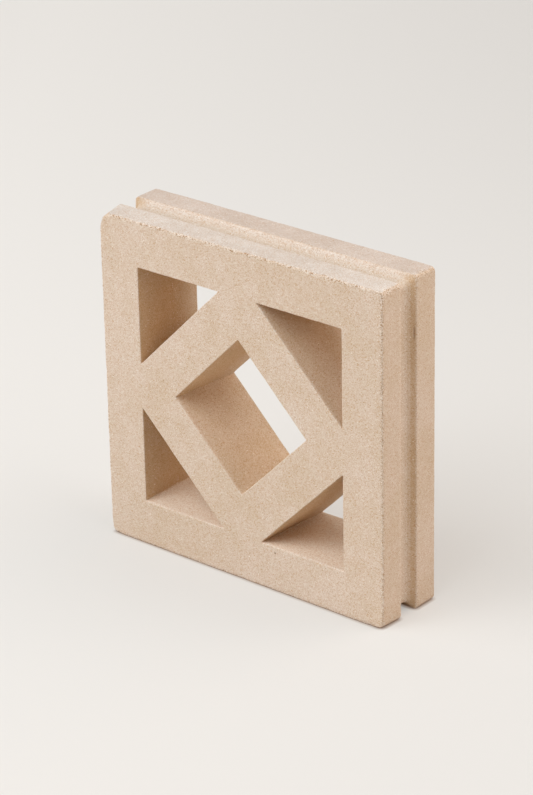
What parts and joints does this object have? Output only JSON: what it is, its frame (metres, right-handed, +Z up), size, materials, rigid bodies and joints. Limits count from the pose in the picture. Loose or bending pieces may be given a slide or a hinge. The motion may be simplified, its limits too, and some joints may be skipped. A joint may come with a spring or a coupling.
{
  "type": "concrete screen block",
  "caption": "Square cast concrete screen block, pierced by a square on its point and corner triangles, with a mortar groove round its rim.",
  "frame": {"origin": "middle of the bottom bed, halfway through the depth", "axes": "+X along the face to the right seen from the front, +Y through the block from the front face to the rear face, +Z up"},
  "size_m": [0.29, 0.068, 0.29],
  "materials": {
    "concrete": "fine sandy cast concrete, matt, warm buff, with small air holes"
  },
  "bodies": {
    "root": {"screen_block": "concrete"}
  },
  "joints": []
}
